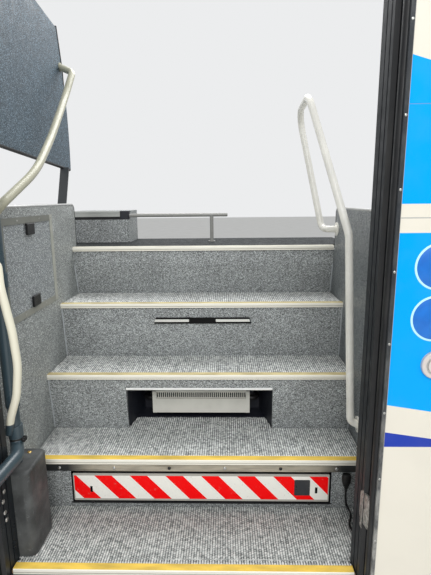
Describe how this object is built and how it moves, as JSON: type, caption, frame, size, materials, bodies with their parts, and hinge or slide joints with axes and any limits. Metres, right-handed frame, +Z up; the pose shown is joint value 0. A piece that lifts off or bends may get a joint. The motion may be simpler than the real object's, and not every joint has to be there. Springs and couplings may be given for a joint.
{
  "type": "coach entrance stairwell",
  "caption": "High coach entrance: stairs with nosings and mats between side walls, handrails, heater niche, sliding lift drawer and a turning door column in the doorway.",
  "frame": {"origin": "underside of the sill beam, on the middle of the stairs, under the first nosing's front edge", "axes": "+X to the right seen from outside, +Y into the coach, +Z up"},
  "size_m": [1.74, 1.548, 2.3],
  "materials": {
    "frame_steel": "satin anti-corrosion paint",
    "speckled_vinyl": "blue-grey vinyl with a fine speckle, lightly textured",
    "landing_vinyl": "dark grey safety vinyl",
    "mat_textile": "ribbed looped grey mat",
    "board": "film-faced plywood",
    "nosing_metal": "anodised, with a yellow ribbed insert on the steps",
    "lift_front": "aluminium platform with red and white diagonal stripes on its front",
    "lift_case": "black",
    "surround_black": "black",
    "strip_metal": "brushed, with studs",
    "niche_dark": "near-black",
    "heater_metal": "light grey",
    "bar_trim": "black with a bright insert, blank",
    "rail_cream": "cream powder coat",
    "column_blue": "blue-grey paint",
    "guard_plastic": "scuffed dark grey",
    "jamb_black": "black ribbed",
    "skin_paint": "gloss cream with light blue and dark blue stripes",
    "button_plastic": "grey",
    "hatch_trim": "beige-grey",
    "cord_rubber": "black"
  },
  "bodies": {
    "root": {"base_frame": "frame_steel", "stair_frame_left": "frame_steel", "stair_frame_right": "frame_steel", "rear_frame": "frame_steel", "tread_bearers": "frame_steel", "door_frame_left": "frame_steel", "door_frame_right": "frame_steel", "header": "frame_steel", "tread_boards": "board", "landing_floor": "landing_vinyl", "nosings": "nosing_metal", "side_wall_left": "speckled_vinyl", "side_wall_right": "speckled_vinyl", "hatch_frame": "hatch_trim", "hatch_cover": "speckled_vinyl", "lift_cassette": "lift_case", "lift_surround": "surround_black", "step_strip": "strip_metal", "niche_box": "niche_dark", "heater": "heater_metal", "trim_bar": "bar_trim", "handrail_right": "rail_cream", "handrail_left": "rail_cream", "screen_panel": "speckled_vinyl", "screen_post": "column_blue", "column_bracket": "frame_steel", "column_guard": "guard_plastic", "jamb_left": "jamb_black", "jamb_right": "jamb_black", "jamb_top": "jamb_black", "skin_left": "skin_paint", "skin_right": "skin_paint", "skin_top": "skin_paint", "door_button": "button_plastic", "podium": "speckled_vinyl", "podium_edge": "strip_metal", "rail_socket": "surround_black", "landing_rail": "column_blue", "heater_hoses": "cord_rubber", "plug": "cord_rubber", "cord": "cord_rubber", "cord_gland": "cord_rubber", "riser_1": "speckled_vinyl", "mat_1": "mat_textile", "riser_2": "speckled_vinyl", "mat_2": "mat_textile", "riser_3": "speckled_vinyl", "mat_3": "mat_textile", "riser_4": "speckled_vinyl", "mat_4": "mat_textile"},
    "door_drive": {"door_column": "column_blue", "door_arm": "column_blue", "grab_rail": "rail_cream"},
    "lift_drawer": {"lift_platform": "lift_front"}
  },
  "joints": [
    {"name": "column_turn", "type": "hinge", "parent": "root", "child": "door_drive", "pos_m": [-0.589, 0.12, 1], "axis": [0, 0, 1], "range_deg": [0, 96]},
    {"name": "lift_slide", "type": "slide", "parent": "root", "child": "lift_drawer", "axis": [0, -1, 0], "range_m": [0, 0.6]}
  ]
}
